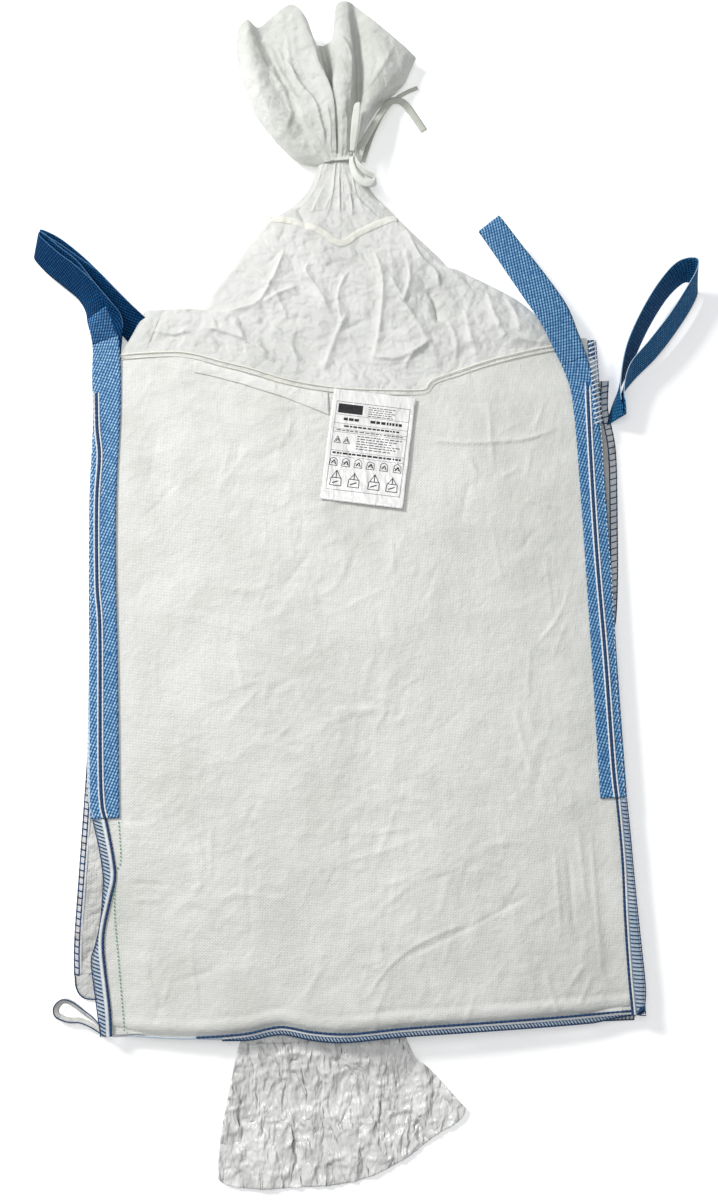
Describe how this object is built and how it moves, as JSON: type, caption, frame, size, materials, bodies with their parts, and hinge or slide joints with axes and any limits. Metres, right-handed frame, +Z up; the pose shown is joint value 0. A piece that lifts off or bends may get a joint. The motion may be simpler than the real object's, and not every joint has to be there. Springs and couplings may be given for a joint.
{
  "type": "bulk bag",
  "caption": "Empty flat-folded woven bulk bag with blue corner lifting loops, a tied filling spout, a film liner tail and a document label.",
  "frame": {"origin": "on the floor under the middle of the back wall", "axes": "+X to the bag's right, +Y towards the filling spout, +Z up, away from the floor"},
  "size_m": [1.2508, 2.124, 0.0767],
  "materials": {
    "bag_cloth": "woven white polypropylene, slightly glossy tapes",
    "spout_cloth": "thin woven white polypropylene, crumpled",
    "liner_film": "milky translucent polyethylene film, crinkled",
    "webbing": "blue twill polypropylene webbing",
    "overlock_thread": "blue multifilament overlock thread",
    "chain_thread": "white chain stitch thread",
    "marker_thread": "thin green marker thread",
    "tie_tape": "flat white polypropylene tie tape",
    "label_film": "white printed film",
    "seam_tape": "off-white hem tape",
    "loop_cloth": "white woven strip with blue edge thread"
  },
  "bodies": {
    "bag": {"back_left_overlock": "overlock_thread", "back_left_seam_flange": "bag_cloth", "back_left_seam_tail": "bag_cloth", "back_left_webbing": "webbing", "back_panel": "bag_cloth", "back_right_overlock": "overlock_thread", "back_right_seam_flange": "bag_cloth", "back_right_webbing": "webbing", "bottom_overlock_back": "overlock_thread", "bottom_overlock_front": "overlock_thread", "bottom_panel": "bag_cloth", "bottom_seam_back": "bag_cloth", "bottom_seam_front": "bag_cloth", "corner_knot": "loop_cloth", "cover_ear": "bag_cloth", "discharge_spout": "spout_cloth", "filling_spout_base": "spout_cloth", "front_left_chain_stitch": "chain_thread", "front_left_overlock": "overlock_thread", "front_left_seam_flange": "bag_cloth", "front_left_webbing": "webbing", "front_panel": "bag_cloth", "front_right_chain_stitch": "chain_thread", "front_right_overlock": "overlock_thread", "front_right_seam_flange": "bag_cloth", "front_right_webbing": "webbing", "inner_liner": "liner_film", "left_side_panel": "bag_cloth", "liner_neck": "liner_film", "marker_stitch": "marker_thread", "right_side_panel": "bag_cloth", "spout_seam_tape": "seam_tape", "top_panel": "bag_cloth", "top_panel_apron": "bag_cloth", "top_seam_flap": "bag_cloth", "top_seam_tape": "seam_tape"},
    "front_left_loop": {"lifting_loop_front_left": "webbing"},
    "back_left_loop": {"lifting_loop_back_left": "webbing"},
    "front_right_loop": {"lifting_loop_front_right": "webbing"},
    "back_right_loop": {"lifting_loop_back_right": "webbing"},
    "spout": {"filling_spout": "spout_cloth", "tie_wrap": "tie_tape", "tie_knot": "tie_tape", "tie_bow_upper": "tie_tape", "tie_bow_lower": "tie_tape", "tie_tail_long": "tie_tape", "tie_tail_short": "tie_tape"},
    "label": {"document_label": "label_film"},
    "liner_outlet": {"liner_tail": "liner_film"},
    "corner_tab": {"corner_loop": "loop_cloth"}
  },
  "joints": [
    {"name": "front_left_loop_lift", "type": "hinge", "parent": "bag", "child": "front_left_loop", "pos_m": [-0.43371, 0.63872, 0.033], "axis": [0.7859, 0.6184, 0], "range_deg": [0, 110]},
    {"name": "back_left_loop_lift", "type": "hinge", "parent": "bag", "child": "back_left_loop", "pos_m": [-0.40114, 0.68635, 0.033], "axis": [0.7242, 0.6896, 0], "range_deg": [0, 110]},
    {"name": "front_right_loop_lift", "type": "hinge", "parent": "bag", "child": "front_right_loop", "pos_m": [0.42005, 0.56896, 0.05], "axis": [0.8695, 0.4939, 0], "range_deg": [0, 100]},
    {"name": "back_right_loop_lift", "type": "hinge", "parent": "bag", "child": "back_right_loop", "pos_m": [0.5057, 0.51472, 0.04], "axis": [0.7869, -0.617, 0], "range_deg": [0, 110]},
    {"name": "spout_raise", "type": "hinge", "parent": "bag", "child": "spout", "pos_m": [0.01, 0.945, 0.058], "axis": [1, 0, 0], "range_deg": [0, 150]},
    {"name": "label_flip", "type": "hinge", "parent": "bag", "child": "label", "pos_m": [0.056, 0.497, 0.0594], "axis": [-0.9866, 0.1633, 0], "range_deg": [0, 150]},
    {"name": "liner_tail_lift", "type": "hinge", "parent": "bag", "child": "liner_outlet", "pos_m": [-0.08, -0.6235, 0.0287], "axis": [-1, 0, 0], "range_deg": [0, 90]},
    {"name": "corner_loop_lift", "type": "hinge", "parent": "bag", "child": "corner_tab", "pos_m": [-0.48618, -0.56821, 0.0095], "axis": [0.2419, 0.9703, 0], "range_deg": [0, 90]}
  ]
}
